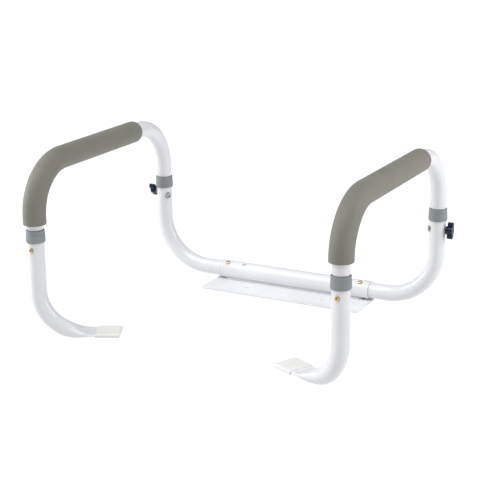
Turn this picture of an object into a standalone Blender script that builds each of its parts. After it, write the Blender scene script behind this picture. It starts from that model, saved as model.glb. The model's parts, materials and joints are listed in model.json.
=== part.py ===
"""Toilet safety frame: two height-adjustable armrests on a width-adjustable base that bolts behind the bowl.

Metres, +Z up, -Y is the front, +X is the right armrest. The origin is on the bowl rim, under the middle of
the frame's box: the mounting plate and the bends of both front legs touch Z = 0, and the foot pads are
just above it. Angles are in degrees.
"""

from math import cos, pi, radians, sin

import bmesh
import bpy
from mathutils import Vector

# Overall layout
HALF_WIDTH = 0.2488
DEPTH = 0.370
REAR_Y = 0.18645
FRONT_Y = REAR_Y - DEPTH
SIDES = {"left": -1, "right": 1}

# Tubes
TUBE_R = 0.0127
TUBE_WALL = 0.0014
CROSS_R = 0.0147
CROSS_WALL = 0.0016
CROSS_HALF_LENGTH = 0.138
CROSS_Z = 0.018
GAP = 0.0003

# Rear posts
POST_BEND_R = 0.082
POST_INNER_X = 0.045

# Armrests: the ends of the tube are necked down to slide inside the posts and legs
ARM_Z = 0.264
ARM_BEND_R = 0.075
NECK_R = 0.0110
NECK_TAPER = 0.0012
REAR_NECK_Z = 0.1025
FRONT_NECK_Z = 0.094

# Foam grips
FOAM_R = 0.0176
FOAM_BORE_R = 0.0131
FOAM_END_R = 0.006
FOAM_BOTTOM_Z = {"left": 0.1775, "right": 0.187}
FOAM_REAR_BACK = {"left": 0.0880, "right": 0.080}

# Collars
COLLAR_R = 0.0147
COLLAR_BORE_R = 0.0130
COLLAR_TOP_Z = 0.1690
COLLAR_HEIGHT = 0.019
COLLAR_LIP = 0.0016
COLLAR_LIP_BORE_R = 0.0114

# Front legs and their flattened feet
LEG_BEND_R = 0.066
FOOT_TOE_IN = 26.0
FOOT_REACH = 0.123
FOOT_Z = 0.0068
FOOT_HALF_THICK = 0.0016
FLATTEN_FROM = 60.0
FLATTEN_TO = 102.0

# Foot pads
PAD_HALF_THICK = 0.0032
PAD_HALF_WIDTH = 0.0212
PAD_LENGTH = 0.038
PAD_TIP_WALL = 0.0025
PAD_SLACK = 0.0003

# Mounting plate
PLATE_HALF_WIDTH = 0.1425
PLATE_FRONT = 0.066
PLATE_BACK = 0.008
PLATE_THICK = 0.003
PLATE_FRONT_CORNER_R = 0.006
PLATE_BACK_CORNER_R = 0.004
SEAT_BOLT_SPACING = 0.1397
SEAT_BOLT_HOLE_R = 0.0039
SEAT_BOLT_BACK = 0.0365

# Snap buttons: radius, height they stand out, and the pitch of the holes that they move between
BRASS_BUTTON_R = 0.0034
STEEL_BUTTON_R = 0.0048
BUTTON_RELIEF = 0.0024
BUTTON_SLACK = 0.0004
WIDTH_PITCH = 0.03175
HEIGHT_PITCH = 0.0254
WIDTH_BUTTON_X = 0.122
WIDTH_BUTTON_TILT = 62.0
LEG_BUTTON_Z = 0.1397
POST_BUTTON_Z = 0.1365
POST_BUTTON_TURN = 60.0
CLIP_WIDTH = 0.007
CLIP_THICK = 0.0008
CLIP_LENGTH = 0.034

# Clamping knobs
KNOB_Z = {"left": 0.1425, "right": 0.1350}
NUT_R = 0.0060
NUT_HEIGHT = 0.0014
STUD_R = 0.0028
TIP_R = 0.0026
HUB_R = 0.0068
WING_LENGTH = 0.0264
WING_THICK = 0.0072
WING_START = 0.0170
WING_END = 0.0254
WING_TURN = {"left": -38.0, "right": 10.0}

# Mesh fineness
SEGMENTS = 16
BEND_STEPS = 8
END_STEPS = 3

X = Vector((1, 0, 0))
Y = Vector((0, 1, 0))
Z = Vector((0, 0, 1))

LOOKS = {
    "white_powder_coat": ((0.80, 0.81, 0.83), 0.30, 0.0),
    "grey_foam": ((0.21, 0.21, 0.19), 0.90, 0.0),
    "grey_plastic": ((0.25, 0.28, 0.29), 0.45, 0.0),
    "pale_vinyl": ((0.88, 0.85, 0.82), 0.40, 0.0),
    "brass": ((0.72, 0.52, 0.22), 0.28, 1.0),
    "steel": ((0.55, 0.56, 0.57), 0.25, 1.0),
    "navy_plastic": ((0.02, 0.04, 0.10), 0.35, 0.0),
    "nylon": ((0.75, 0.74, 0.70), 0.50, 0.0),
}


def clear_scene():
    for obj in list(bpy.data.objects):
        bpy.data.objects.remove(obj, do_unlink=True)


def material(look):
    found = bpy.data.materials.get(look)
    if found:
        return found
    colour, roughness, metallic = LOOKS[look]
    made = bpy.data.materials.new(look)
    made.use_nodes = True
    shader = made.node_tree.nodes["Principled BSDF"]
    shader.inputs["Base Color"].default_value = (*colour, 1.0)
    shader.inputs["Roughness"].default_value = roughness
    shader.inputs["Metallic"].default_value = metallic
    return made


def link(name, mesh_source, origin=None):
    """An object from a bmesh, with its origin moved to the given point."""
    bmesh.ops.recalc_face_normals(mesh_source, faces=mesh_source.faces)
    if origin is not None:
        bmesh.ops.translate(mesh_source, verts=mesh_source.verts, vec=-origin)
    mesh = bpy.data.meshes.new(name)
    mesh_source.to_mesh(mesh)
    mesh_source.free()
    obj = bpy.data.objects.new(name, mesh)
    if origin is not None:
        obj.location = origin
    bpy.context.scene.collection.objects.link(obj)
    return obj


def part(name, mesh_source, look, origin=None):
    """A sub-part of the frame, smooth-shaded except at its sharp edges."""
    obj = link(name, mesh_source, origin)
    obj.data.materials.append(material(look))
    obj.data.shade_smooth()
    obj.data.set_sharp_from_angle(angle=radians(40))
    return obj


def section(centre, tangent, side, half_width, half_height):
    """Points round a tube's cross-section: a circle, or flattened to a bar with round edges.

    half_width runs along side, and half_height across it. The points share out the outline's length evenly.
    """
    across = tangent.cross(side).normalized()
    flat = half_width - half_height
    arc = pi * half_height
    outline = 2 * arc + 4 * flat
    points = []
    for index in range(SEGMENTS):
        run = (outline * index / SEGMENTS + arc / 2) % outline
        half_turn = -1 if run >= outline / 2 else 1
        along = run % (outline / 2)
        if along < arc:
            angle = along / half_height - pi / 2
            width, height = flat + half_height * cos(angle), half_height * sin(angle)
        else:
            width, height = flat - (along - arc), half_height
        points.append(centre + half_turn * (side * width + across * height))
    return points


def skin(loops, ring=False):
    """A closed surface through a row of loops: capped at both ends, or joined end to end as a ring."""
    made = bmesh.new()
    rows = [[made.verts.new(point) for point in loop] for loop in loops]
    pairs = list(zip(rows, rows[1:]))
    if ring:
        pairs.append((rows[-1], rows[0]))
    for first, second in pairs:
        count = len(first)
        for index in range(count):
            after = (index + 1) % count
            made.faces.new((first[index], first[after], second[after], second[index]))
    if not ring:
        made.faces.new(rows[0])
        made.faces.new(rows[-1])
    return made


def round_loops(path, side):
    """Loops along a path of (centre, tangent, radius)."""
    return [section(centre, tangent, side, radius, radius) for centre, tangent, radius in path]


def turned(origin, axis, profile, ring=False):
    """A piece turned about an axis, from a profile of (distance along the axis, radius)."""
    side = axis.orthogonal().normalized()
    path = [(origin + axis * along, axis, radius) for along, radius in profile]
    return skin(round_loops(path, side), ring)


def bend(start, turn_from, turn_to, radius):
    """Stations (centre, tangent, angle) of a round right-angled bend.

    It leaves start along turn_from and ends along turn_to.
    """
    centre = start + turn_to * radius
    stations = []
    for step in range(BEND_STEPS + 1):
        angle = 90 * step / BEND_STEPS
        a = radians(angle)
        point = centre + radius * (turn_from * sin(a) - turn_to * cos(a))
        stations.append((point, turn_from * cos(a) + turn_to * sin(a), angle))
    return stations


def drill(target, name, holes):
    """Cuts round holes out of a target. holes are (start, direction, length, radius)."""
    cutter_mesh = bmesh.new()
    for start, direction, length, radius in holes:
        made = turned(start, direction, [(0, radius), (length, radius)])
        bmesh.ops.recalc_face_normals(made, faces=made.faces)
        scratch = bpy.data.meshes.new("scratch")
        made.to_mesh(scratch)
        made.free()
        cutter_mesh.from_mesh(scratch)
        bpy.data.meshes.remove(scratch)
    cutter = link(name, cutter_mesh)
    boolean(target, cutter, "DIFFERENCE")


def boolean(target, tool, operation):
    tool.hide_render = True
    tool.display_type = "WIRE"
    modifier = target.modifiers.new(tool.name, "BOOLEAN")
    modifier.operation = operation
    modifier.solver = "EXACT"
    modifier.object = tool


def outline_plate(points, bottom, thickness):
    """A flat plate: an outline in X and Y, extruded upwards."""
    made = bmesh.new()
    face = made.faces.new([made.verts.new((x, y, bottom)) for x, y in points])
    lifted = bmesh.ops.extrude_face_region(made, geom=[face])["geom"]
    raised = [item for item in lifted if isinstance(item, bmesh.types.BMVert)]
    bmesh.ops.translate(made, verts=raised, vec=Z * thickness)
    return made


def corner_arc(centre_x, centre_y, radius, start_angle):
    return [
        (
            centre_x + radius * cos(radians(start_angle + 90 * step / 4)),
            centre_y + radius * sin(radians(start_angle + 90 * step / 4)),
        )
        for step in range(5)
    ]


def tilted_front(tilt):
    """A direction across the cross tube, lifted from the front."""
    return Vector((0, -cos(radians(tilt)), sin(radians(tilt))))


def level_direction(sign, turn):
    """A level direction, turned from the front towards the middle of the frame."""
    return Vector((-sign * sin(radians(turn)), -cos(radians(turn)), 0))


def toe_direction(sign):
    """The way a foot points: inwards, and a little towards the rear."""
    return Vector((-sign * cos(radians(FOOT_TOE_IN)), sin(radians(FOOT_TOE_IN)), 0))


def width_button_places(sign):
    return Vector((sign * WIDTH_BUTTON_X, REAR_Y, CROSS_Z)), tilted_front(WIDTH_BUTTON_TILT)


def post_button_places(sign):
    return Vector((sign * HALF_WIDTH, REAR_Y, POST_BUTTON_Z)), level_direction(sign, POST_BUTTON_TURN)


def leg_button_places(sign):
    return Vector((sign * HALF_WIDTH, FRONT_Y, LEG_BUTTON_Z)), -Y


def make_cross_tube():
    ends = [Vector((x, REAR_Y, CROSS_Z)) for x in (-CROSS_HALF_LENGTH, CROSS_HALF_LENGTH)]
    outer = [(end, X, CROSS_R) for end in ends]
    inner = [(end, X, CROSS_R - CROSS_WALL) for end in reversed(ends)]
    tube = part("cross_tube", skin(round_loops(outer + inner, Y), ring=True), "white_powder_coat")
    holes = []
    for sign in SIDES.values():
        centre, direction = width_button_places(sign)
        for inboard in (0, WIDTH_PITCH):
            start = centre - X * sign * inboard + direction * 0.006
            holes.append((start, direction, 0.014, BRASS_BUTTON_R + BUTTON_SLACK))
    drill(tube, "cross_tube_holes", holes)


def make_mounting_plate():
    front = REAR_Y - PLATE_FRONT
    back = REAR_Y + PLATE_BACK
    near, far = PLATE_FRONT_CORNER_R, PLATE_BACK_CORNER_R
    half = PLATE_HALF_WIDTH
    outline = (
        corner_arc(half - far, back - far, far, 0)
        + corner_arc(-half + far, back - far, far, 90)
        + corner_arc(-half + near, front + near, near, 180)
        + corner_arc(half - near, front + near, near, 270)
    )
    plate = part("mounting_plate", outline_plate(outline, 0, PLATE_THICK), "white_powder_coat")
    bolt_y = REAR_Y - SEAT_BOLT_BACK
    holes = [
        (Vector((x, bolt_y, -0.002)), Z, 0.008, SEAT_BOLT_HOLE_R)
        for x in (-SEAT_BOLT_SPACING / 2, SEAT_BOLT_SPACING / 2)
    ]
    drill(plate, "mounting_plate_holes", holes)


def make_rear_post(side, sign):
    """A J-shaped tube: it slides in the cross tube, and its upright end takes the armrest."""
    outward = X * sign
    bend_start = Vector((sign * (HALF_WIDTH - POST_BEND_R), REAR_Y, CROSS_Z))
    turn = bend(bend_start, outward, Z, POST_BEND_R)
    inner_end = Vector((sign * POST_INNER_X, REAR_Y, CROSS_Z))
    top = Vector((sign * HALF_WIDTH, REAR_Y, COLLAR_TOP_Z - COLLAR_LIP - GAP))
    centreline = [(inner_end, outward)] + [(point, tangent) for point, tangent, _ in turn] + [(top, Z)]
    outer = [(point, tangent, TUBE_R) for point, tangent in centreline]
    inner = [(point, tangent, TUBE_R - TUBE_WALL) for point, tangent in reversed(centreline)]
    post = part(side + "_rear_post", skin(round_loops(outer + inner, Y), ring=True), "white_powder_coat", top)
    width_centre, width_direction = width_button_places(sign)
    holes = [
        (
            width_centre + outward * shift + width_direction * 0.006,
            width_direction,
            0.014,
            BRASS_BUTTON_R + BUTTON_SLACK,
        )
        for shift in (0, WIDTH_PITCH)
    ]
    button_centre, button_direction = post_button_places(sign)
    reach = 0.006
    holes.append(
        (button_centre + button_direction * reach, button_direction, 0.012, STEEL_BUTTON_R + BUTTON_SLACK)
    )
    knob_centre = Vector((sign * HALF_WIDTH, REAR_Y, KNOB_Z[side]))
    holes.append((knob_centre + outward * reach, outward, 0.012, STUD_R + BUTTON_SLACK))
    drill(post, side + "_rear_post_holes", holes)


def armrest_centreline(sign):
    """The armrest tube's straight ends and bends, from the front neck to the rear neck."""
    x = sign * HALF_WIDTH
    front_start = Vector((x, FRONT_Y, ARM_Z - ARM_BEND_R))
    rear_start = Vector((x, REAR_Y - ARM_BEND_R, ARM_Z))
    front_turn = [(point, tangent) for point, tangent, _ in bend(front_start, Z, Y, ARM_BEND_R)]
    rear_turn = [(point, tangent) for point, tangent, _ in bend(rear_start, Y, -Z, ARM_BEND_R)]
    return front_turn, rear_turn


def make_armrest_tube(side, sign):
    x = sign * HALF_WIDTH
    shoulder = COLLAR_TOP_Z + GAP
    front_turn, rear_turn = armrest_centreline(sign)
    full = [(point, tangent, TUBE_R) for point, tangent in front_turn + rear_turn]
    full_from = shoulder + NECK_TAPER
    path = (
        [
            (Vector((x, FRONT_Y, FRONT_NECK_Z)), Z, NECK_R),
            (Vector((x, FRONT_Y, shoulder)), Z, NECK_R),
            (Vector((x, FRONT_Y, full_from)), Z, TUBE_R),
        ]
        + full
        + [
            (Vector((x, REAR_Y, full_from)), -Z, TUBE_R),
            (Vector((x, REAR_Y, shoulder)), -Z, NECK_R),
            (Vector((x, REAR_Y, REAR_NECK_Z)), -Z, NECK_R),
        ]
    )
    bore = [(centre, tangent, radius - TUBE_WALL) for centre, tangent, radius in reversed(path)]
    origin = Vector((x, REAR_Y, ARM_Z))
    tube = part(
        side + "_armrest_tube", skin(round_loops(path + bore, X), ring=True), "white_powder_coat", origin
    )
    post_centre, post_direction = post_button_places(sign)
    leg_centre, leg_direction = leg_button_places(sign)
    holes = []
    for below in (0, HEIGHT_PITCH):
        drop = Z * below
        holes.append(
            (post_centre - drop + post_direction * 0.005, post_direction, 0.009, STEEL_BUTTON_R + BUTTON_SLACK)
        )
        holes.append(
            (leg_centre - drop + leg_direction * 0.005, leg_direction, 0.009, BRASS_BUTTON_R + BUTTON_SLACK)
        )
    drill(tube, side + "_armrest_tube_holes", holes)


def make_foam_grip(side, sign):
    """A foam sleeve over the front upright, the front bend and most of the top of the armrest."""
    x = sign * HALF_WIDTH
    front_turn, _ = armrest_centreline(sign)
    rear_end = Vector((x, REAR_Y - FOAM_REAR_BACK[side], ARM_Z))
    bottom = Vector((x, FRONT_Y, FOAM_BOTTOM_Z[side]))
    lower = [(bottom, Z, FOAM_R - 0.0012), (bottom + Z * 0.0012, Z, FOAM_R)]
    rounded = []
    for step in range(END_STEPS + 1):
        angle = radians(90 * step / END_STEPS)
        along = rear_end - Y * FOAM_END_R * (1 - sin(angle))
        radius = FOAM_R - FOAM_END_R * (1 - cos(angle)) * 0.5
        rounded.append((along, Y, radius))
    outer = lower + [(point, tangent, FOAM_R) for point, tangent in front_turn] + rounded
    bore = [(rear_end, Y, FOAM_BORE_R)]
    bore += [(point, tangent, FOAM_BORE_R) for point, tangent in reversed(front_turn)]
    bore += [(bottom, Z, FOAM_BORE_R)]
    part(side + "_foam_grip", skin(round_loops(outer + bore, X), ring=True), "grey_foam")


def make_collar(name, x, y):
    """A plastic collar pressed over the top of a lower tube. Its lip guides the armrest's neck."""
    top, bottom = COLLAR_TOP_Z, COLLAR_TOP_Z - COLLAR_HEIGHT
    profile = [
        (top, COLLAR_LIP_BORE_R),
        (top, COLLAR_R - 0.0008),
        (top - 0.0008, COLLAR_R),
        (bottom + 0.002, COLLAR_R),
        (bottom, COLLAR_R - 0.0009),
        (bottom, COLLAR_BORE_R),
        (top - COLLAR_LIP, COLLAR_BORE_R),
        (top - COLLAR_LIP, COLLAR_LIP_BORE_R),
    ]
    part(name, turned(Vector((x, y, 0)), Z, profile, ring=True), "grey_plastic")


def flattening(angle):
    """How far a leg is flattened, from 0 when round to 1 when flat, at an angle round its bend.

    Past the end of the bend the angle goes on growing at the same rate along the tube.
    """
    share = min(max((angle - FLATTEN_FROM) / (FLATTEN_TO - FLATTEN_FROM), 0), 1)
    return share * share * (3 - 2 * share)


def flattened_loops(stations, side, radius, flat_half):
    """Loops whose outline keeps its length as the tube goes from round to flat."""
    loops = []
    for centre, tangent, flat_share in stations:
        half_height = radius + (flat_half - radius) * flat_share
        half_width = half_height + pi * (radius - half_height) / 2
        loops.append(section(centre, tangent, side, half_width, half_height))
    return loops


def make_front_leg(side, sign):
    """A tube that bends inwards at the bottom and is pressed flat as a foot."""
    x = sign * HALF_WIDTH
    toe = toe_direction(sign)
    edge = toe.cross(Z).normalized()
    top = Vector((x, FRONT_Y, COLLAR_TOP_Z - COLLAR_LIP - GAP))
    turn = bend(Vector((x, FRONT_Y, FOOT_Z + LEG_BEND_R)), -Z, toe, LEG_BEND_R)
    bend_end = turn[-1][0]
    stations = [(top, -Z, 0)] + [(point, tangent, flattening(angle)) for point, tangent, angle in turn]
    for past in (FLATTEN_TO / 2 - 45, FLATTEN_TO - 90):
        stations.append((bend_end + toe * LEG_BEND_R * radians(past), toe, flattening(90 + past)))
    toe_end = Vector((x, FRONT_Y, FOOT_Z)) + toe * (FOOT_REACH - PAD_TIP_WALL)
    outer = flattened_loops(stations + [(toe_end, toe, 1)], edge, TUBE_R, FOOT_HALF_THICK)
    bore = flattened_loops(reversed(stations[:-1]), edge, TUBE_R - TUBE_WALL, GAP)
    leg = part(side + "_front_leg", skin(bore + outer), "white_powder_coat", top)
    centre, direction = leg_button_places(sign)
    hole = (centre + direction * 0.006, direction, 0.012, BRASS_BUTTON_R + BUTTON_SLACK)
    drill(leg, side + "_front_leg_hole", [hole])


def make_foot_pad(side, sign):
    """A vinyl sleeve with a closed tip, pushed over the flat end of a leg."""
    toe = toe_direction(sign)
    edge = toe.cross(Z).normalized()
    root = Vector((sign * HALF_WIDTH, FRONT_Y, FOOT_Z))
    mouth = root + toe * (FOOT_REACH - PAD_LENGTH)
    tip = root + toe * FOOT_REACH
    pocket_end = root + toe * (FOOT_REACH - PAD_TIP_WALL + PAD_SLACK)
    pocket_half = FOOT_HALF_THICK + PAD_SLACK
    pocket_width = FOOT_HALF_THICK + pi * (TUBE_R - FOOT_HALF_THICK) / 2 + PAD_SLACK
    loops = [
        section(pocket_end, toe, edge, pocket_width, pocket_half),
        section(mouth, toe, edge, pocket_width, pocket_half),
        section(mouth, toe, edge, PAD_HALF_WIDTH, PAD_HALF_THICK),
        section(tip - toe * 0.0015, toe, edge, PAD_HALF_WIDTH, PAD_HALF_THICK),
        section(tip, toe, edge, PAD_HALF_WIDTH - 0.0012, PAD_HALF_THICK - 0.0010),
    ]
    part(side + "_foot_pad", skin(loops), "pale_vinyl")


def make_button(name, centre, direction, inner_surface, outer_surface, radius, look):
    """A domed snap button in a tube's wall. Its origin is on the tube's axis."""
    base = inner_surface + GAP
    top = outer_surface + BUTTON_RELIEF
    dome = 0.0016
    profile = [(base, radius), (top - dome, radius)]
    for step in range(1, END_STEPS + 1):
        angle = radians(75 * step / END_STEPS)
        profile.append((top - dome + dome * sin(angle), radius * cos(angle)))
    part(name, turned(centre, direction, profile), look, centre)


def make_clip(name, centre, direction, along, leg_offset):
    """The V-shaped leaf spring behind a snap button: two legs across the tube, joined at one end.

    It is modelled pressed, clear of the button's stroke.
    """
    fold = 0.0022
    far = CLIP_LENGTH - 0.006
    middle = [(leg_offset, -0.006), (leg_offset, 0.007), (fold, far)]
    for step in range(1, 4):
        angle = radians(180 * step / 4)
        middle.append((fold * cos(angle), far + fold * sin(angle)))
    middle += [(-fold, far), (-leg_offset, 0.007), (-leg_offset, -0.006)]
    width_axis = direction.cross(along)
    loops = []
    for index, (across, run) in enumerate(middle):
        before = Vector(middle[max(index - 1, 0)])
        after = Vector(middle[min(index + 1, len(middle) - 1)])
        tangent = (after - before).normalized()
        normal = Vector((-tangent.y, tangent.x)) * CLIP_THICK / 2
        loop = []
        for near, half in ((1, 1), (1, -1), (-1, -1), (-1, 1)):
            flat = Vector((across, run)) + normal * near
            loop.append(centre + direction * flat.x + along * flat.y + width_axis * half * CLIP_WIDTH / 2)
        loops.append(loop)
    part(name, skin(loops), "steel", centre)


def make_knob(side, sign):
    """A winged knob on a threaded stud: the stud's nylon tip presses the armrest's neck to hold it still."""
    outward = X * sign
    centre = Vector((sign * HALF_WIDTH, REAR_Y, KNOB_Z[side]))
    nut_start = TUBE_R + GAP
    nut_end = nut_start + NUT_HEIGHT
    bore_r = STUD_R + BUTTON_SLACK
    nut_profile = [(nut_start, bore_r), (nut_start, NUT_R), (nut_end, NUT_R), (nut_end, bore_r)]
    part(side + "_knob_nut", turned(centre, outward, nut_profile, ring=True), "steel", centre)

    tip_start, tip_end = NECK_R + GAP, TUBE_R + GAP
    tip_profile = [(tip_start, TIP_R - 0.0004), (tip_start + 0.0004, TIP_R), (tip_end, TIP_R)]
    part(side + "_knob_tip", turned(centre, outward, tip_profile), "nylon", centre)

    stud_end = WING_END - 0.004
    stud_profile = [(tip_end + GAP, STUD_R), (stud_end, STUD_R)]
    part(side + "_knob_stud", turned(centre, outward, stud_profile), "steel", centre)

    hub_start = nut_end + GAP
    hub_profile = [(hub_start, HUB_R - 0.0004), (hub_start + 0.0004, HUB_R), (WING_END - 0.001, HUB_R)]
    hub_profile.append((WING_END, HUB_R - 0.001))
    knob = part(side + "_knob", turned(centre, outward, hub_profile), "navy_plastic", centre)
    wing = link(side + "_knob_wing", wing_mesh(centre, outward, WING_TURN[side]))
    boolean(knob, wing, "UNION")
    socket = (centre + outward * (hub_start - 0.001), outward, stud_end + GAP - hub_start + 0.001)
    drill(knob, side + "_knob_socket", [(*socket, STUD_R + GAP)])


def wing_mesh(centre, outward, turn):
    """The knob's two-ended wing: a bar with rounded ends, standing on the hub."""
    half_length, half_thick = WING_LENGTH / 2, WING_THICK / 2
    upright = Z * cos(radians(turn)) + Y * sin(radians(turn))
    chamfer = 0.001
    loops = []
    for along, trim in (
        (WING_START, chamfer),
        (WING_START + chamfer, 0),
        (WING_END - chamfer, 0),
        (WING_END, chamfer),
    ):
        middle = centre + outward * along
        loops.append(section(middle, outward, upright, half_length - trim, half_thick - trim))
    return skin(loops)


def make_side(side, sign):
    make_rear_post(side, sign)
    make_armrest_tube(side, sign)
    make_foam_grip(side, sign)
    make_front_leg(side, sign)
    make_foot_pad(side, sign)
    make_collar(side + "_rear_collar", sign * HALF_WIDTH, REAR_Y)
    make_collar(side + "_front_collar", sign * HALF_WIDTH, FRONT_Y)
    make_knob(side, sign)

    width_centre, width_direction = width_button_places(sign)
    make_button(
        side + "_width_button", width_centre, width_direction, TUBE_R, CROSS_R, BRASS_BUTTON_R, "brass"
    )
    make_clip(side + "_width_clip", width_centre, width_direction, -X * sign, 0.0088)

    post_centre, post_direction = post_button_places(sign)
    make_button(
        side + "_post_button", post_centre, post_direction, NECK_R, TUBE_R, STEEL_BUTTON_R, "steel"
    )
    make_clip(side + "_post_clip", post_centre, post_direction, Z, 0.0074)

    leg_centre, leg_direction = leg_button_places(sign)
    make_button(side + "_leg_button", leg_centre, leg_direction, NECK_R, TUBE_R, BRASS_BUTTON_R, "brass")
    make_clip(side + "_leg_clip", leg_centre, leg_direction, Z, 0.0074)


def main():
    clear_scene()
    make_cross_tube()
    make_mounting_plate()
    for side, sign in SIDES.items():
        make_side(side, sign)


main()
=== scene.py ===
"""Looks of the toilet safety frame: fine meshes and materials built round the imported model.

Metres, +Z up, -Y is the front, +X is the right armrest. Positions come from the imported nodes' boxes.
Sizes that a box can't give, such as bend radii, repeat the design's own values.
"""

import json
from math import cos, pi, radians, sin

import bmesh
import bpy
from mathutils import Matrix, Vector


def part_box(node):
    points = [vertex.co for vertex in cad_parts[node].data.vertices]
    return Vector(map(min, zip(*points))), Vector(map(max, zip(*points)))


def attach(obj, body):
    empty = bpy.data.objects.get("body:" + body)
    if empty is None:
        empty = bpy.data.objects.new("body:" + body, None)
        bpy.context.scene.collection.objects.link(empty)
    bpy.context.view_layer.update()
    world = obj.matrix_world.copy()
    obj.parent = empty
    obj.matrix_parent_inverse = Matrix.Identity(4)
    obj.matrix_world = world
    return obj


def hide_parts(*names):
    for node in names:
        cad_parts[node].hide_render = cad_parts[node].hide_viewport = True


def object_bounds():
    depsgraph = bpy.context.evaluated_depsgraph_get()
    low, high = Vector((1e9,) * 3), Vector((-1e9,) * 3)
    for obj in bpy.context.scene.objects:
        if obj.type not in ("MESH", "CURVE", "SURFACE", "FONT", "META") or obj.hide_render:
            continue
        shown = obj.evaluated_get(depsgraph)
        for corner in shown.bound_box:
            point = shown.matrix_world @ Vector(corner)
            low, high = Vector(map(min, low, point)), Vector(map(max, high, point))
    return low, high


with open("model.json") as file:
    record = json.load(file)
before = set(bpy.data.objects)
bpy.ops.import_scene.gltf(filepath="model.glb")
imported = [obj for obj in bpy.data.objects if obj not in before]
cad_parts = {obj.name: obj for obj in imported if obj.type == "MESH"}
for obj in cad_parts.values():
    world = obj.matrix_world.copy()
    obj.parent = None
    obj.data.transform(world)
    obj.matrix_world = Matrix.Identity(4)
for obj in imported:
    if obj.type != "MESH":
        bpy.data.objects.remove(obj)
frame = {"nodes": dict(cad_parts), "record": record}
CAD_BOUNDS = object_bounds()

SIDES = {"left": -1, "right": 1}
BODY_OF = {
    node: body
    for body, nodes in frame["record"]["behaviour"]["bodies"].items()
    for node in nodes
}
SLOT_OF = {item["node"]: item["material_slot"] for item in frame["record"]["subparts"]}

X = Vector((1, 0, 0))
Y = Vector((0, 1, 0))
Z = Vector((0, 0, 1))


def centre_of(node):
    low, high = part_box(node)
    return (low + high) / 2


def size_of(node):
    low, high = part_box(node)
    return high - low


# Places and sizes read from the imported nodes
POST_X = centre_of("right_rear_collar").x
REAR_Y = centre_of("right_rear_collar").y
FRONT_Y = centre_of("right_front_collar").y
COLLAR_BOTTOM_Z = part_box("right_rear_collar")[0].z
COLLAR_TOP_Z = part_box("right_rear_collar")[1].z
COLLAR_R = size_of("right_rear_collar").x / 2
CROSS_Z = centre_of("cross_tube").z
CROSS_R = size_of("cross_tube").y / 2
CROSS_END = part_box("cross_tube")[1].x
TUBE_R = size_of("right_rear_post").y / 2
ARM_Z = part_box("right_armrest_tube")[1].z - TUBE_R
FOAM_R = size_of("right_foam_grip").x / 2
POST_INNER_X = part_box("right_rear_post")[0].x
PLATE_LOW, PLATE_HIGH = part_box("mounting_plate")
FOOT_Z = centre_of("right_foot_pad").z

# Sizes that repeat the design
TUBE_WALL = 0.0014
CROSS_WALL = 0.0016
POST_BEND_R = 0.082
ARM_BEND_R = 0.075
NECK_R = 0.0110
NECK_TAPER = 0.0012
REAR_NECK_Z = 0.1025
FRONT_NECK_Z = 0.094
GAP = 0.0003
FOAM_BORE_R = 0.0131
COLLAR_BORE_R = 0.0130
COLLAR_LIP = 0.0016
COLLAR_LIP_BORE_R = 0.0114
LEG_BEND_R = 0.066
FOOT_TOE_IN = 26.0
FOOT_REACH = 0.123
FOOT_HALF_THICK = 0.0016
FLATTEN_FROM = 60.0
FLATTEN_TO = 102.0
PAD_HALF_THICK = 0.0032
PAD_HALF_WIDTH = 0.0212
PAD_LENGTH = 0.038
PAD_TIP_WALL = 0.0025
PAD_SLACK = 0.0003
PLATE_FRONT_CORNER_R = 0.006
PLATE_BACK_CORNER_R = 0.004
SEAT_BOLT_SPACING = 0.1397
SEAT_BOLT_HOLE_R = 0.0039
SEAT_BOLT_BACK = 0.0365
BRASS_BUTTON_R = 0.0034
STEEL_BUTTON_R = 0.0048
BUTTON_RELIEF = 0.0024
BUTTON_SLACK = 0.0004
WIDTH_PITCH = 0.03175
HEIGHT_PITCH = 0.0254
WIDTH_BUTTON_TILT = 62.0
POST_BUTTON_TURN = 60.0
WIDTH_BUTTON_X = 0.122
LEG_BUTTON_Z = 0.1397
POST_BUTTON_Z = 0.1365
KNOB_Z = {"left": 0.1425, "right": 0.1350}
NUT_R = 0.0060
NUT_HEIGHT = 0.0014
STUD_R = 0.0028
BRASS_HOLE_R = BRASS_BUTTON_R + BUTTON_SLACK
STEEL_HOLE_R = STEEL_BUTTON_R + BUTTON_SLACK
STUD_HOLE_R = STUD_R + BUTTON_SLACK
HUB_R = 0.0068
WING_LENGTH = 0.0264
WING_THICK = 0.0072
WING_START = 0.0170
WING_END = 0.0254
WING_TURN = {"left": -38.0, "right": 10.0}

# Mesh fineness
SEGMENTS = 64
SMALL_SEGMENTS = 40
BEND_STEPS = 28

# A hole's cutter starts inside the tube's bore, and ends outside its wall
CUTTER_START = 0.006
CUTTER_LENGTH = 0.014


# Materials


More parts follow.
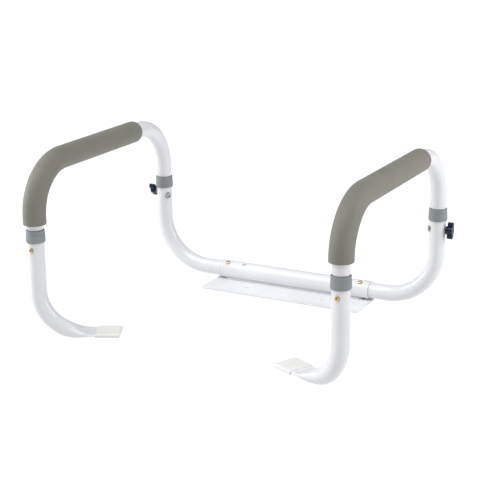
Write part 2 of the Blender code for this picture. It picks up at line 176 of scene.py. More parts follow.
class Nodes:
    """Adds nodes to a material, each with its inputs set from values or from other nodes' outputs."""

    def __init__(self, name):
        self.material = bpy.data.materials.new(name)
        self.material.use_nodes = True
        self.tree = self.material.node_tree
        self.shader = self.tree.nodes["Principled BSDF"]
        self.place = self.add("ShaderNodeTexCoord").outputs["Object"]

    def add(self, kind, **inputs):
        node = self.tree.nodes.new(kind)
        for key, value in inputs.items():
            self.put(node.inputs[key.replace("_", " ")], value)
        return node

    def put(self, socket, value):
        """Links a node's output to a socket, or sets the socket to a plain value."""
        if isinstance(value, bpy.types.NodeSocket):
            self.tree.links.new(value, socket)
        else:
            socket.default_value = value

    def noise(self, scale, detail=2.0, roughness=0.5):
        found = self.add(
            "ShaderNodeTexNoise", Vector=self.place, Scale=scale, Detail=detail, Roughness=roughness
        )
        return found.outputs["Fac"]

    def cells(self, scale):
        found = self.add("ShaderNodeTexVoronoi", Vector=self.place, Scale=scale)
        return found.outputs["Distance"]

    def ramp(self, source, stops):
        """A colour that goes through stops of (place, colour) as source goes from 0 to 1."""
        found = self.add("ShaderNodeValToRGB", Fac=source)
        elements = found.color_ramp.elements
        while len(elements) < len(stops):
            elements.new(0.5)
        for element, (at, colour) in zip(elements, stops):
            element.position = at
            element.color = (*colour, 1.0)
        return found.outputs["Color"]

    def spread(self, source, low, high):
        """Noise, which mostly lies between 0.3 and 0.7, stretched to lie between low and high."""
        found = self.add("ShaderNodeMapRange", Value=source)
        found.inputs["From Min"].default_value = 0.3
        found.inputs["From Max"].default_value = 0.7
        found.inputs["To Min"].default_value = low
        found.inputs["To Max"].default_value = high
        return found.outputs["Result"]

    def product(self, first, second):
        found = self.add("ShaderNodeMath")
        found.operation = "MULTIPLY"
        self.put(found.inputs[0], first)
        self.put(found.inputs[1], second)
        return found.outputs["Value"]

    def bump(self, height, strength, distance, normal=None):
        found = self.add("ShaderNodeBump", Height=height, Strength=strength, Distance=distance)
        if normal is not None:
            self.put(found.inputs["Normal"], normal)
        return found.outputs["Normal"]

    def finish(self, **inputs):
        """Sets the shader's inputs, and gives the material."""
        for key, value in inputs.items():
            self.put(self.shader.inputs[key.replace("_", " ")], value)
        return self.material


def powder_coat():
    made = Nodes("white_powder_coat")
    cloud = made.noise(14.0, detail=3.0)
    peel = made.noise(620.0, detail=2.0)
    specks = made.cells(1500.0)
    fine = made.bump(specks, 0.05, 0.0001)
    return made.finish(
        Base_Color=made.ramp(cloud, [(0.35, (0.825, 0.840, 0.870)), (0.65, (0.860, 0.875, 0.900))]),
        Roughness=made.spread(peel, 0.20, 0.30),
        Normal=made.bump(peel, 0.10, 0.0002, fine),
        IOR=1.5,
        Coat_Weight=0.25,
        Coat_Roughness=0.06,
    )


def foam():
    made = Nodes("grey_foam")
    cloud = made.noise(26.0, detail=4.0)
    grain = made.noise(900.0, detail=3.0, roughness=0.6)
    pores = made.cells(1300.0)
    tone = made.product(made.spread(cloud, 0.92, 1.06), made.spread(grain, 0.90, 1.08))
    shade = made.ramp(tone, [(0.0, (0.0, 0.0, 0.0)), (1.0, (0.218, 0.214, 0.182))])
    return made.finish(
        Base_Color=shade,
        Roughness=made.spread(grain, 0.54, 0.68),
        Normal=made.bump(pores, 0.55, 0.00025, made.bump(grain, 0.35, 0.0003)),
        Sheen_Weight=0.12,
        Sheen_Roughness=0.50,
        Specular_IOR_Level=0.60,
    )


def collar_plastic():
    made = Nodes("grey_plastic")
    cloud = made.noise(60.0, detail=3.0)
    grain = made.noise(1400.0, detail=2.0)
    return made.finish(
        Base_Color=made.ramp(cloud, [(0.3, (0.245, 0.272, 0.283)), (0.7, (0.290, 0.318, 0.330))]),
        Roughness=made.spread(grain, 0.38, 0.52),
        Normal=made.bump(grain, 0.15, 0.0001),
        Specular_IOR_Level=0.5,
    )


def vinyl():
    made = Nodes("pale_vinyl")
    cloud = made.noise(45.0, detail=3.0)
    grain = made.noise(800.0, detail=2.0)
    return made.finish(
        Base_Color=made.ramp(cloud, [(0.3, (0.880, 0.850, 0.820)), (0.7, (0.930, 0.905, 0.880))]),
        Roughness=made.spread(grain, 0.34, 0.46),
        Normal=made.bump(grain, 0.12, 0.0002),
        Subsurface_Weight=0.25,
        Subsurface_Scale=0.003,
        Subsurface_Radius=(1.0, 0.7, 0.5),
    )


def brass():
    made = Nodes("brass")
    dull = made.noise(700.0, detail=3.0)
    turned_marks = made.noise(2600.0, detail=1.0)
    return made.finish(
        Base_Color=made.ramp(dull, [(0.3, (0.60, 0.41, 0.13)), (0.7, (0.86, 0.69, 0.33))]),
        Roughness=made.spread(turned_marks, 0.20, 0.36),
        Normal=made.bump(turned_marks, 0.10, 0.0001),
        Metallic=1.0,
    )


def steel():
    made = Nodes("steel")
    dull = made.noise(400.0, detail=3.0)
    marks = made.noise(2400.0, detail=2.0)
    return made.finish(
        Base_Color=made.ramp(dull, [(0.3, (0.30, 0.32, 0.33)), (0.7, (0.50, 0.52, 0.53))]),
        Roughness=made.spread(marks, 0.18, 0.34),
        Normal=made.bump(marks, 0.10, 0.0001),
        Metallic=1.0,
    )


def knob_plastic():
    made = Nodes("navy_plastic")
    cloud = made.noise(90.0, detail=3.0)
    grain = made.noise(1200.0, detail=2.0)
    return made.finish(
        Base_Color=made.ramp(cloud, [(0.3, (0.000, 0.011, 0.030)), (0.7, (0.001, 0.018, 0.044))]),
        Roughness=made.spread(grain, 0.16, 0.26),
        Normal=made.bump(grain, 0.14, 0.0001),
        Specular_IOR_Level=0.40,
    )


def nylon():
    made = Nodes("nylon")
    cloud = made.noise(300.0, detail=3.0)
    grain = made.noise(2000.0, detail=2.0)
    return made.finish(
        Base_Color=made.ramp(cloud, [(0.3, (0.70, 0.69, 0.64)), (0.7, (0.78, 0.77, 0.73))]),
        Roughness=made.spread(grain, 0.42, 0.54),
        Normal=made.bump(grain, 0.10, 0.0001),
        Subsurface_Weight=0.15,
        Subsurface_Scale=0.001,
    )


MATERIALS = {
    "white_powder_coat": powder_coat(),
    "grey_foam": foam(),
    "grey_plastic": collar_plastic(),
    "pale_vinyl": vinyl(),
    "brass": brass(),
    "steel": steel(),
    "navy_plastic": knob_plastic(),
    "nylon": nylon(),
}


# Mesh tools


def quarter_turn(steps):
    """The (cosine, sine) of angles from 0 to 90 degrees, in equal steps."""
    angles = [radians(90 * step / steps) for step in range(steps + 1)]
    return [(cos(angle), sin(angle)) for angle in angles]


def section(centre, tangent, side, half_width, half_height, count=SEGMENTS):
    """Points round a cross-section: a circle, or flattened to a bar with round edges.

    half_width runs along side, and half_height across it. The points share out the outline's length evenly.
    """
    across = tangent.cross(side).normalized()
    flat = half_width - half_height
    arc = pi * half_height
    outline = 2 * arc + 4 * flat
    points = []
    for index in range(count):
        run = (outline * index / count + arc / 2) % outline
        half_turn = -1 if run >= outline / 2 else 1
        along = run % (outline / 2)
        if along < arc:
            angle = along / half_height - pi / 2
            width, height = flat + half_height * cos(angle), half_height * sin(angle)
        else:
            width, height = flat - (along - arc), half_height
        points.append(centre + half_turn * (side * width + across * height))
    return points


def skin(loops, ring=False):
    """A closed surface through a row of loops: capped at both ends, or joined end to end as a ring."""
    made = bmesh.new()
    rows = [[made.verts.new(point) for point in loop] for loop in loops]
    pairs = list(zip(rows, rows[1:]))
    if ring:
        pairs.append((rows[-1], rows[0]))
    for first, second in pairs:
        count = len(first)
        for index in range(count):
            after = (index + 1) % count
            made.faces.new((first[index], first[after], second[after], second[index]))
    if not ring:
        made.faces.new(rows[0])
        made.faces.new(rows[-1])
    return made


def round_loops(path, side, count=SEGMENTS):
    """Circles along a path of (centre, tangent, radius), each with its first point towards side."""
    return [section(centre, tangent, side, radius, radius, count) for centre, tangent, radius in path]


def turned(origin, axis, profile, ring=False, count=SMALL_SEGMENTS):
    """A piece turned about an axis, from a profile of (distance along the axis, radius)."""
    side = axis.orthogonal().normalized()
    path = [(origin + axis * along, axis, radius) for along, radius in profile]
    return skin(round_loops(path, side, count), ring)


def bend(start, turn_from, turn_to, radius, steps=BEND_STEPS):
    """Stations (centre, tangent, angle) of a round right-angled bend from start."""
    centre = start + turn_to * radius
    stations = []
    for step in range(steps + 1):
        angle = 90 * step / steps
        a = radians(angle)
        point = centre + radius * (turn_from * sin(a) - turn_to * cos(a))
        stations.append((point, turn_from * cos(a) + turn_to * sin(a), angle))
    return stations


def smooth(share):
    """A share from 0 to 1 that starts and ends slowly."""
    return share * share * (3 - 2 * share)


def between(first, second, steps):
    """Stations evenly along a straight run, without its two ends."""
    (point, tangent), (last, _) = first, second
    return [(point.lerp(last, step / steps), tangent) for step in range(1, steps)]


def mesh_object(name, source):
    """A new object with the bmesh's faces, all turned outwards."""
    bmesh.ops.recalc_face_normals(source, faces=source.faces)
    mesh = bpy.data.meshes.new(name)
    source.to_mesh(mesh)
    source.free()
    obj = bpy.data.objects.new(name, mesh)
    bpy.context.scene.collection.objects.link(obj)
    return obj


def bake_modifiers(obj):
    """Replaces the object's mesh by the one its modifiers make."""
    bpy.context.view_layer.update()
    evaluated = obj.evaluated_get(bpy.context.evaluated_depsgraph_get())
    baked = bpy.data.meshes.new_from_object(evaluated)
    obj.modifiers.clear()
    old = obj.data
    obj.data = baked
    bpy.data.meshes.remove(old)


def combine(obj, tool_mesh, operation):
    """Cuts a mesh out of the object, or adds it."""
    tool = mesh_object("tool", tool_mesh)
    modifier = obj.modifiers.new("combine", "BOOLEAN")
    modifier.operation = operation
    modifier.solver = "EXACT"
    modifier.object = tool
    bake_modifiers(obj)
    bpy.data.objects.remove(tool, do_unlink=True)


def cut_hole(obj, start, direction, length, radius):
    """Cuts one round hole, from start along direction."""
    combine(obj, turned(start, direction, [(0, radius), (length, radius)]), "DIFFERENCE")


def drill(tube, holes):
    """Cuts round holes through a tube's wall. holes are (centre on the tube's axis, direction, radius)."""
    for centre, direction, radius in holes:
        cut_hole(tube, centre + direction * CUTTER_START, direction, CUTTER_LENGTH, radius)


def soften(obj, width):
    """Rounds off the edges sharper than 40 degrees."""
    modifier = obj.modifiers.new("soften", "BEVEL")
    modifier.width = width
    modifier.segments = 3
    modifier.limit_method = "ANGLE"
    modifier.angle_limit = radians(40)
    modifier.use_clamp_overlap = True
    bake_modifiers(obj)


def give_surface(obj, slot, sharp):
    """The slot's material, and smooth shading between edges of up to sharp degrees."""
    obj.data.materials.clear()
    obj.data.materials.append(MATERIALS[slot])
    obj.data.shade_smooth()
    obj.data.set_sharp_from_angle(angle=radians(sharp))


def dress(obj, node, sharp=40):
    """Gives a fine mesh the material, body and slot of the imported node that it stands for."""
    give_surface(obj, SLOT_OF[node], sharp)
    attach(obj, BODY_OF[node])
    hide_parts(node)


# Directions and places of the small parts. Each place is a point on its tube's axis, with a direction


def toe_direction(sign):
    """The level way that a front leg's foot points: inwards, and a little to the rear."""
    return Vector((-sign * cos(radians(FOOT_TOE_IN)), sin(radians(FOOT_TOE_IN)), 0))


def width_button_place(sign):
    """On the cross tube, facing the front and tilted up."""
    tilt = radians(WIDTH_BUTTON_TILT)
    return Vector((sign * WIDTH_BUTTON_X, REAR_Y, CROSS_Z)), Vector((0, -cos(tilt), sin(tilt)))


def post_button_place(sign):
    """On the post's upright end, level, facing the front and turned inwards."""
    turn = radians(POST_BUTTON_TURN)
    return Vector((sign * POST_X, REAR_Y, POST_BUTTON_Z)), Vector((-sign * sin(turn), -cos(turn), 0))


def leg_button_place(sign):
    """On the front leg, facing the front."""
    return Vector((sign * POST_X, FRONT_Y, LEG_BUTTON_Z)), -Y


def knob_place(side, sign):
    """On the post's upright end, facing outwards."""
    return Vector((sign * POST_X, REAR_Y, KNOB_Z[side])), X * sign


# The base


def make_cross_tube():
    """The outer tube, with a short plastic bushing flange showing as a ring at each end."""
    edge, flange, groove = 0.0006, 0.0040, 0.0003
    flange_r = CROSS_R - 0.5 * groove
    half = [
        (0.0, CROSS_R),
        (CROSS_END - flange - 2 * groove, CROSS_R),
        (CROSS_END - flange - groove, CROSS_R - 1.3 * groove),
        (CROSS_END - flange, flange_r),
    ]
    half += [(CROSS_END - edge * (1 - s), flange_r - edge * (1 - c)) for c, s in quarter_turn(3)]
    bore = CROSS_R - CROSS_WALL
    profile = [(-along, radius) for along, radius in reversed(half[1:])] + half
    profile += [(CROSS_END, bore), (-CROSS_END, bore)]
    axis_start = Vector((0, REAR_Y, CROSS_Z))
    path = [(axis_start + X * along, X, radius) for along, radius in profile]
    tube = mesh_object("cross_tube_fine", skin(round_loops(path, Y), ring=True))
    holes = []
    for sign in SIDES.values():
        centre, direction = width_button_place(sign)
        holes += [(centre - X * sign * inboard, direction, BRASS_HOLE_R) for inboard in (0, WIDTH_PITCH)]
    drill(tube, holes)
    dress(tube, "cross_tube")


def plate_outline(inset):
    """Points round the plate, with each corner's arc inset on its own centre."""
    low, high = PLATE_LOW, PLATE_HIGH
    arc_steps = 10
    corners = (
        (high.x, high.y, PLATE_BACK_CORNER_R, 0, -1, -1),
        (low.x, high.y, PLATE_BACK_CORNER_R, 90, 1, -1),
        (low.x, low.y, PLATE_FRONT_CORNER_R, 180, 1, 1),
        (high.x, low.y, PLATE_FRONT_CORNER_R, 270, -1, 1),
    )
    points = []
    for corner_x, corner_y, radius, start, inward_x, inward_y in corners:
        centre_x, centre_y = corner_x + inward_x * radius, corner_y + inward_y * radius
        reach = radius - inset
        for step in range(arc_steps + 1):
            a = radians(start + 90 * step / arc_steps)
            points.append((centre_x + reach * cos(a), centre_y + reach * sin(a)))
    return points


def make_plate():
    """A plate with rounded edges, and two bolt holes with a chamfer at both ends."""
    bottom, top = PLATE_LOW.z, PLATE_HIGH.z
    edge, chamfer, past = 0.0006, 0.0009, 0.001
    rounding = [(edge * (1 - c), edge * (1 - s)) for c, s in quarter_turn(3)]
    levels = [(bottom + up, inset) for up, inset in rounding]
    levels += [(top - down, inset) for down, inset in reversed(rounding)]
    loops = [[Vector((x, y, z)) for x, y in plate_outline(inset)] for z, inset in levels]
    plate = mesh_object("mounting_plate_fine", skin(loops))
    hole, flare = SEAT_BOLT_HOLE_R, SEAT_BOLT_HOLE_R + chamfer + past
    profile = [(bottom - past, flare), (bottom + chamfer, hole), (top - chamfer, hole), (top + past, flare)]
    for x in (-SEAT_BOLT_SPACING / 2, SEAT_BOLT_SPACING / 2):
        combine(plate, turned(Vector((x, REAR_Y - SEAT_BOLT_BACK, 0)), Z, profile), "DIFFERENCE")
    dress(plate, "mounting_plate")


def make_weld_bead(name, back):
    """A coated, rippled weld bead in the wedge between the cross tube and the plate.

    It is wider than high, tapers at both ends, and is cut off flat just above the plate. back is 1 for the
    bead behind the tube, and -1 for the one in front.
    """
    steps, rounds, taper_steps = 180, 10, 5
    end_clearance, bead_size, offset, lift, flat_depth = 0.012, 0.0034, 0.0062, 0.0006, 0.0005
    width_share, height_share = 1.15, 0.62
    reach = CROSS_END - end_clearance
    loops = []
    for step in range(steps + 1):
        middle = Vector((-reach + 2 * reach * step / steps, REAR_Y + back * offset, PLATE_HIGH.z + lift))
        taper = min(1.0, (step + 0.6) / taper_steps, (steps - step + 0.6) / taper_steps)
        ripple = 1 + 0.05 * sin(step * 2.1) + 0.03 * sin(step * 0.73 + 1.0)
        size = bead_size * taper * ripple
        loop = []
        for index in range(rounds):
            a = 2 * pi * index / rounds
            outwards = Y * back * size * cos(a) * width_share
            loop.append(middle + outwards + Z * max(size * sin(a) * height_share, -flat_depth))
        loops.append(loop)
    bead = mesh_object(name, skin(loops))
    give_surface(bead, "white_powder_coat", 70)
    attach(bead, BODY_OF["mounting_plate"])


# One side of the frame


def make_rear_post(side, sign):
    """The J-shaped tube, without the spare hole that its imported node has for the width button."""
    knob_centre, outward = knob_place(side, sign)
    bend_start = Vector((sign * (POST_X - POST_BEND_R), REAR_Y, CROSS_Z))
    turn = [(point, tangent) for point, tangent, _ in bend(bend_start, outward, Z, POST_BEND_R)]
    inner_end = (Vector((sign * POST_INNER_X, REAR_Y, CROSS_Z)), outward)
    top = (Vector((sign * POST_X, REAR_Y, COLLAR_TOP_Z - COLLAR_LIP - GAP)), Z)
    centreline = [inner_end] + between(inner_end, turn[0], 6) + turn + between(turn[-1], top, 5) + [top]
    outer = [(point, tangent, TUBE_R) for point, tangent in centreline]
    inner = [(point, tangent, TUBE_R - TUBE_WALL) for point, tangent in reversed(centreline)]
    post = mesh_object(side + "_rear_post_fine", skin(round_loops(outer + inner, Y), ring=True))
    drill(
        post,
        [
            (*width_button_place(sign), BRASS_HOLE_R),
            (*post_button_place(sign), STEEL_HOLE_R),
            (knob_centre, outward, STUD_HOLE_R),
        ],
    )
    dress(post, side + "_rear_post")


def armrest_turns(sign):
    """Stations (centre, tangent) of the armrest's front and rear bends."""
    x = sign * POST_X
    front_start = Vector((x, FRONT_Y, ARM_Z - ARM_BEND_R))
    rear_start = Vector((x, REAR_Y - ARM_BEND_R, ARM_Z))
    front_turn = [(point, tangent) for point, tangent, _ in bend(front_start, Z, Y, ARM_BEND_R)]
    rear_turn = [(point, tangent) for point, tangent, _ in bend(rear_start, Y, -Z, ARM_BEND_R)]
    return front_turn, rear_turn


def neck_taper(x, y, going_up):
    """Stations (centre, tangent, radius) of the swaged shoulder between the neck and the full tube."""
    shoulder = COLLAR_TOP_Z + GAP
    tangent = Z if going_up else -Z
    steps = 6
    stations = []
    for step in range(steps + 1):
        share = step / steps
        radius = NECK_R + (TUBE_R - NECK_R) * smooth(share)
        stations.append((Vector((x, y, shoulder + NECK_TAPER * share)), tangent, radius))
    return stations if going_up else stations[::-1]


def make_armrest_tube(side, sign):
    x = sign * POST_X
    front_turn, rear_turn = armrest_turns(sign)
    top_run = between(front_turn[-1], rear_turn[0], 10)
    path = [
        (Vector((x, FRONT_Y, FRONT_NECK_Z)), Z, NECK_R),
        *neck_taper(x, FRONT_Y, True),
        *[(point, tangent, TUBE_R) for point, tangent in front_turn + top_run + rear_turn],
        *neck_taper(x, REAR_Y, False),
        (Vector((x, REAR_Y, REAR_NECK_Z)), -Z, NECK_R),
    ]
    bore = [(centre, tangent, radius - TUBE_WALL) for centre, tangent, radius in reversed(path)]
    tube = mesh_object(side + "_armrest_tube_fine", skin(round_loops(path + bore, X), ring=True))
    post_centre, post_direction = post_button_place(sign)
    leg_centre, leg_direction = leg_button_place(sign)
    holes = []
    for below in (0, HEIGHT_PITCH):
        holes.append((post_centre - Z * below, post_direction, STEEL_HOLE_R))
        holes.append((leg_centre - Z * below, leg_direction, BRASS_HOLE_R))
    drill(tube, holes)
    dress(tube, side + "_armrest_tube")


def unevenness(point, sign):
    """Slow waves over a foam surface, from 0 to 2, which differ between the two sides."""
    waves = (
        sin(point.x * 310 + point.z * 173 + sign),
        sin(point.y * 257 - point.z * 211 + 2 * sign),
        sin(point.y * 93 + point.x * 140 + 1.7),
    )
    return 1 + sum(waves) / len(waves)


def make_foam_grip(side, sign):
    """A soft sleeve: cut square at the bottom, rounded over at the rear, and slightly uneven all along."""
    x = sign * POST_X
    low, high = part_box(side + "_foam_grip")
    front_turn, _ = armrest_turns(sign)
    bottom = Vector((x, FRONT_Y, low.z))
    rear = Vector((x, high.y, ARM_Z))
    edge, rear_rounding, rear_drop, hollow = 0.0008, 0.0075, 0.0042, 0.0001
    round_from = rear - Y * rear_rounding
    straight = between((bottom + Z * edge, Z), front_turn[0], 3)
    top_run = between(front_turn[-1], (round_from, Y), 44)
    path = [(bottom + Z * edge * (1 - c), Z, FOAM_R - edge * (1 - s)) for c, s in quarter_turn(4)]
    path += [(*station, FOAM_R) for station in straight + front_turn + top_run]
    for c, s in quarter_turn(8):
        path.append((round_from + Y * rear_rounding * s, Y, FOAM_R - rear_drop * (1 - c)))
    loops = round_loops(path, X)
    for row, (centre, _, _) in enumerate(path):
        for index, point in enumerate(loops[row]):
            pull = 1 - hollow * unevenness(point, sign) / FOAM_R
            loops[row][index] = centre + (point - centre) * pull
    bore = [(rear, Y, FOAM_BORE_R)]
    bore += [(point, tangent, FOAM_BORE_R) for point, tangent in reversed(front_turn)]
    bore += [(bottom, Z, FOAM_BORE_R)]
    grip = mesh_object(side + "_foam_grip_fine", skin(loops + round_loops(bore, X), ring=True))
    dress(grip, side + "_foam_grip", sharp=50)


def make_collar(node):
    """A moulded collar that widens a little towards its lower edge, with a fine line below its top."""
    middle = centre_of(node)
    top, bottom = COLLAR_TOP_Z, COLLAR_BOTTOM_Z
    edge, low_edge, bore_edge, narrow, line_depth = 0.0007, 0.0022, 0.0002, 0.0006, 0.00022
    line_r = COLLAR_R - narrow * 0.8 - line_depth
    profile = [(top - bore_edge, COLLAR_LIP_BORE_R), (top, COLLAR_LIP_BORE_R + bore_edge)]
    profile += [(top - edge * (1 - c), COLLAR_R - narrow - edge * (1 - s)) for c, s in quarter_turn(3)]
    profile += [
        (top - 0.0046, line_r + line_depth),
        (top - 0.0049, line_r),
        (top - 0.0053, line_r),
        (top - 0.0056, COLLAR_R - narrow * 0.7),
        (top - 0.0100, COLLAR_R - narrow * 0.3),
        (bottom + 0.0045, COLLAR_R),
    ]
    for c, s in quarter_turn(5):
        profile.append((bottom + low_edge * (1 - s), COLLAR_R - low_edge * 0.5 * (1 - c)))
    profile += [
        (bottom, COLLAR_BORE_R),
        (top - COLLAR_LIP, COLLAR_BORE_R),
        (top - COLLAR_LIP, COLLAR_LIP_BORE_R),
    ]
    axis_start = Vector((middle.x, middle.y, 0))
    collar = mesh_object(node + "_fine", turned(axis_start, Z, profile, ring=True, count=SEGMENTS))
    dress(collar, node, sharp=35)


def flattening(angle):
    """How far a leg is flattened, from 0 to 1, at an angle that goes on growing past its bend."""
    return smooth(min(max((angle - FLATTEN_FROM) / (FLATTEN_TO - FLATTEN_FROM), 0), 1))


def flattened_loops(stations, side, radius, flat_half):
    """Loops whose outline keeps its length as the tube goes from round to flat."""
    loops = []
    for centre, tangent, flat_share in stations:
        half_height = radius + (flat_half - radius) * flat_share
        half_width = half_height + pi * (radius - half_height) / 2
        loops.append(section(centre, tangent, side, half_width, half_height))
    return loops


def make_front_leg(side, sign):
    """A tube that goes from round to flat in its bend, as one skin from the bore's inner end to the toe."""
    x = sign * POST_X
    toe = toe_direction(sign)
    edge = toe.cross(Z).normalized()
    turn = bend(Vector((x, FRONT_Y, FOOT_Z + LEG_BEND_R)), -Z, toe, LEG_BEND_R, 36)
    top = (Vector((x, FRONT_Y, COLLAR_TOP_Z - COLLAR_LIP - GAP)), -Z)
    straight = [top] + between(top, turn[0][:2], 5)
    stations = [(point, tangent, 0) for point, tangent in straight]
    stations += [(point, tangent, flattening(angle)) for point, tangent, angle in turn]
    bend_end = turn[-1][0]
    past_steps = 5
    for step in range(1, past_steps + 1):
        past = (FLATTEN_TO - 90) * step / past_steps
        stations.append((bend_end + toe * LEG_BEND_R * radians(past), toe, flattening(90 + past)))
    toe_end = Vector((x, FRONT_Y, FOOT_Z)) + toe * (FOOT_REACH - PAD_TIP_WALL)
    outer = flattened_loops(stations + [(toe_end, toe, 1)], edge, TUBE_R, FOOT_HALF_THICK)
    bore = flattened_loops(reversed(stations[:-1]), edge, TUBE_R - TUBE_WALL, GAP)
    leg = mesh_object(side + "_front_leg_fine", skin(bore + outer))
    drill(leg, [(*leg_button_place(sign), BRASS_HOLE_R)])
    dress(leg, side + "_front_leg", sharp=60)


def make_foot_pad(side, sign):
    """A dipped vinyl sleeve, with a thin rolled mouth and rounded edges."""
    toe = toe_direction(sign)
    edge = toe.cross(Z).normalized()
    root = Vector((sign * POST_X, FRONT_Y, FOOT_Z))
    mouth = root + toe * (FOOT_REACH - PAD_LENGTH)
    tip = root + toe * FOOT_REACH
    pocket_end = root + toe * (FOOT_REACH - PAD_TIP_WALL + PAD_SLACK)
    pocket_half = FOOT_HALF_THICK + PAD_SLACK
    pocket_width = FOOT_HALF_THICK + pi * (TUBE_R - FOOT_HALF_THICK) / 2 + PAD_SLACK
    loops = [
        section(pocket_end, toe, edge, pocket_width, pocket_half),
        section(mouth, toe, edge, pocket_width, pocket_half),
    ]
    # Outside, from the mouth to the tip: (centre, how much narrower and how much thinner than the full pad)
    outside = [
        (mouth, 0.0004, 0.0004),
        (mouth + toe * 0.0002, 0.0001, 0.0001),
        (mouth + toe * 0.0008, 0.0, 0.0),
        (mouth + toe * 0.0016, 0.0002, 0.0002),
        (mouth + toe * 0.0060, 0.0002, 0.0001),
    ]
    tip_rounding, tip_trim = 0.0026, 0.0020
    for c, s in quarter_turn(6):
        outside.append((tip - toe * tip_rounding * (1 - s), tip_trim * (1 - c), tip_trim * (1 - c)))
    for centre, narrower, thinner in outside:
        loops.append(section(centre, toe, edge, PAD_HALF_WIDTH - narrower, PAD_HALF_THICK - thinner))
    pad = mesh_object(side + "_foot_pad_fine", skin(loops))
    dress(pad, side + "_foot_pad", sharp=50)


def make_brass_button(node, centre, direction, inner_surface, outer_surface):
    """A domed rivet-like head with a small sunk middle."""
    base, top, radius = inner_surface + GAP, outer_surface + BUTTON_RELIEF, BRASS_BUTTON_R
    dome, dome_steps, dome_degrees, base_edge, recess_depth = 0.0016, 8, 70, 0.0002, 0.0022
    profile = [(base, radius - base_edge), (base + base_edge, radius), (top - dome, radius)]
    for step in range(1, dome_steps + 1):
        a = radians(dome_degrees * step / dome_steps)
        profile.append((top - dome + dome * sin(a) * 1.03, radius * cos(a)))
    profile += [
        (top - 0.0001, radius * 0.38),
        (top - 0.0004, radius * 0.33),
        (top - recess_depth, radius * 0.30),
    ]
    button = mesh_object(node + "_fine", turned(centre, direction, profile))
    dress(button, node, sharp=45)


def make_steel_button(node, centre, direction):
    """A flat-topped round head with a hexagonal recess."""
    base, top, radius = NECK_R + GAP, TUBE_R + BUTTON_RELIEF, STEEL_BUTTON_R
    edge, base_edge, recess_depth, recess_r = 0.0009, 0.0002, 0.0013, 0.0024
    profile = [(base, radius - base_edge), (base + base_edge, radius)]
    profile += [(top - edge * (1 - s), radius - edge * 1.2 * (1 - c)) for c, s in quarter_turn(5)]
    button = mesh_object(node + "_fine", turned(centre, direction, profile))
    recess_profile = [(top - recess_depth, recess_r), (top + 0.001, recess_r + 0.0001)]
    combine(button, turned(centre, direction, recess_profile, count=6), "DIFFERENCE")
    dress(button, node, sharp=35)


def make_knob_nut(side, sign):
    """The round weld nut between the post and the knob, chamfered at both ends."""
    start, end = TUBE_R + GAP, TUBE_R + GAP + NUT_HEIGHT
    chamfer, chamfered_r = 0.0004, NUT_R * 0.93
    profile = [
        (start, STUD_HOLE_R),
        (start, chamfered_r),
        (start + chamfer, NUT_R),
        (end - chamfer, NUT_R),
        (end, chamfered_r),
        (end, STUD_HOLE_R),
    ]
    nut = mesh_object(side + "_knob_nut_fine", turned(*knob_place(side, sign), profile, ring=True))
    dress(nut, side + "_knob_nut", sharp=25)


def make_knob(side, sign):
    """A winged knob with softened edges, its hub's socket left open to the stud."""
    centre, outward = knob_place(side, sign)
    chamfer, draft, edge, wing_wall = 0.0012, 0.0003, 0.0006, 0.004
    hub_start = TUBE_R + GAP + NUT_HEIGHT + GAP
    hub_profile = [(hub_start, HUB_R - draft), (WING_END - chamfer, HUB_R), (WING_END, HUB_R - chamfer)]
    knob = mesh_object(side + "_knob_fine", turned(centre, outward, hub_profile))
    upright = Z * cos(radians(WING_TURN[side])) + Y * sin(radians(WING_TURN[side]))
    half_length, half_thick = WING_LENGTH / 2, WING_THICK / 2
    ends = [
        section(centre + outward * along, outward, upright, half_length, half_thick, SMALL_SEGMENTS)
        for along in (WING_START, WING_END)
    ]
    combine(knob, skin(ends), "UNION")
    soften(knob, edge)
    socket_start, socket_end = hub_start - 0.001, WING_END - wing_wall + GAP
    cut_hole(knob, centre + outward * socket_start, outward, socket_end - socket_start, STUD_R + GAP)
    dress(knob, side + "_knob", sharp=35)


def make_side(side, sign):
    make_rear_post(side, sign)
    make_armrest_tube(side, sign)
    make_foam_grip(side, sign)
    make_front_leg(side, sign)
    make_foot_pad(side, sign)
    make_collar(side + "_rear_collar")
    make_collar(side + "_front_collar")
    make_knob_nut(side, sign)
    make_knob(side, sign)
    make_brass_button(side + "_width_button", *width_button_place(sign), TUBE_R, CROSS_R)
    make_brass_button(side + "_leg_button", *leg_button_place(sign), NECK_R, TUBE_R)
    make_steel_button(side + "_post_button", *post_button_place(sign))


def dress_carried_over():
    """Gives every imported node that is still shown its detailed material."""
    for name, obj in frame["nodes"].items():
        if not obj.hide_render:
            obj.data.materials.clear()
            obj.data.materials.append(MATERIALS[SLOT_OF[name]])


# The studio


def seen_by_camera(tree, otherwise, seen):
    """A strength that is one value to the camera and another one in the light that reaches the object."""
    path = tree.nodes.new("ShaderNodeLightPath")
    strength = tree.nodes.new("ShaderNodeMapRange")
    strength.inputs["To Min"].default_value = otherwise
    strength.inputs["To Max"].default_value = seen
    tree.links.new(path.outputs["Is Camera Ray"], strength.inputs["Value"])
    return strength.outputs["Result"]


def make_floor():
    made = Nodes("floor")
    cloud = made.noise(0.7)
    material = made.finish(
        Base_Color=made.ramp(cloud, [(0.3, (0.11, 0.11, 0.11)), (0.7, (0.13, 0.13, 0.13))]),
        Roughness=0.9,
        Specular_IOR_Level=0.0,
        Emission_Color=(1.0, 1.0, 1.0, 1.0),
        Emission_Strength=seen_by_camera(made.tree, otherwise=0.76, seen=0.96),
    )
    below_frame = 0.0002
    source = bmesh.new()
    bmesh.ops.create_grid(source, x_segments=8, y_segments=8, size=20.0)
    bmesh.ops.translate(source, verts=source.verts, vec=Z * (CAD_BOUNDS[0].z - below_frame))
    floor = mesh_object("floor", source)
    floor.data.materials.append(material)


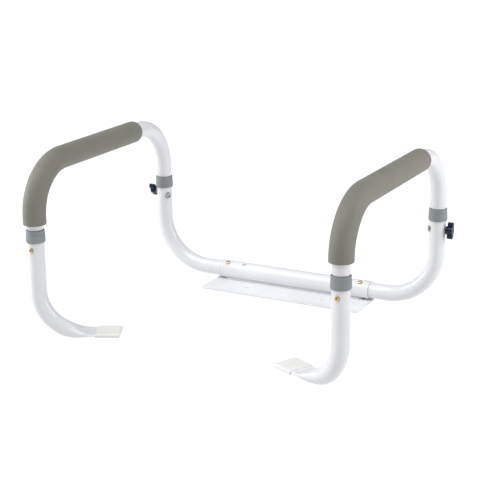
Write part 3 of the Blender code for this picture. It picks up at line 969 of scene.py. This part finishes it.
def make_light(name, place, target, size, power):
    data = bpy.data.lights.new(name, "AREA")
    data.shape = "RECTANGLE"
    data.size, data.size_y = size
    data.energy = power
    aim_light(bpy.data.objects.new(name, data), place, target)


def make_sun(name, place, strength, spread):
    """An even light over the whole floor, from the direction of place, as soft as its spread in degrees."""
    data = bpy.data.lights.new(name, "SUN")
    data.energy = strength
    data.angle = radians(spread)
    aim_light(bpy.data.objects.new(name, data), place, (0, 0, 0))


def aim_light(light, place, target):
    light.location = place
    light.rotation_euler = (Vector(target) - Vector(place)).to_track_quat("-Z", "Y").to_euler()
    bpy.context.scene.collection.objects.link(light)


def make_world():
    """A dim white room whose far walls look as white as the floor to the camera."""
    world = bpy.data.worlds.new("studio")
    world.use_nodes = True
    tree = world.node_tree
    background = tree.nodes["Background"]
    background.inputs["Color"].default_value = (1.0, 1.0, 1.0, 1.0)
    strength = seen_by_camera(tree, otherwise=0.20, seen=1.0)
    tree.links.new(strength, background.inputs["Strength"])
    bpy.context.scene.world = world


def make_camera():
    """Looks down at the frame from the front right, with a slight roll."""
    azimuth, elevation, roll = radians(28.36), radians(16.58), radians(-0.776)
    place = Vector((0.92436, -1.71483, 0.71534))
    back = Vector((sin(azimuth) * cos(elevation), -cos(azimuth) * cos(elevation), sin(elevation)))
    level = Vector((cos(azimuth), sin(azimuth), 0))
    above = back.cross(level)
    right = level * cos(roll) + above * sin(roll)
    up = above * cos(roll) - level * sin(roll)
    data = bpy.data.cameras.new("camera")
    data.sensor_width = 36.0
    data.lens = 99.732
    data.clip_end = 60.0
    camera = bpy.data.objects.new("camera", data)
    camera.matrix_world = Matrix.Translation(place) @ Matrix((right, up, back)).transposed().to_4x4()
    bpy.context.scene.collection.objects.link(camera)
    bpy.context.scene.camera = camera


def make_studio():
    make_floor()
    make_world()
    aim = (0.0, 0.0, 0.12)
    make_sun("overhead", (-0.15, -0.40, 0.95), strength=2.0, spread=45)
    make_light("left", (-1.6, -0.4, 0.7), aim, size=(0.7, 1.4), power=16)
    make_light("right", (1.6, 0.4, 0.7), aim, size=(0.7, 1.4), power=14)
    make_camera()
    settings = bpy.context.scene.view_settings
    settings.view_transform = "Standard"
    settings.look = "None"


make_cross_tube()
make_plate()
make_weld_bead("weld_bead_front", -1)
make_weld_bead("weld_bead_rear", 1)
for side_name, side_sign in SIDES.items():
    make_side(side_name, side_sign)
dress_carried_over()
make_studio()
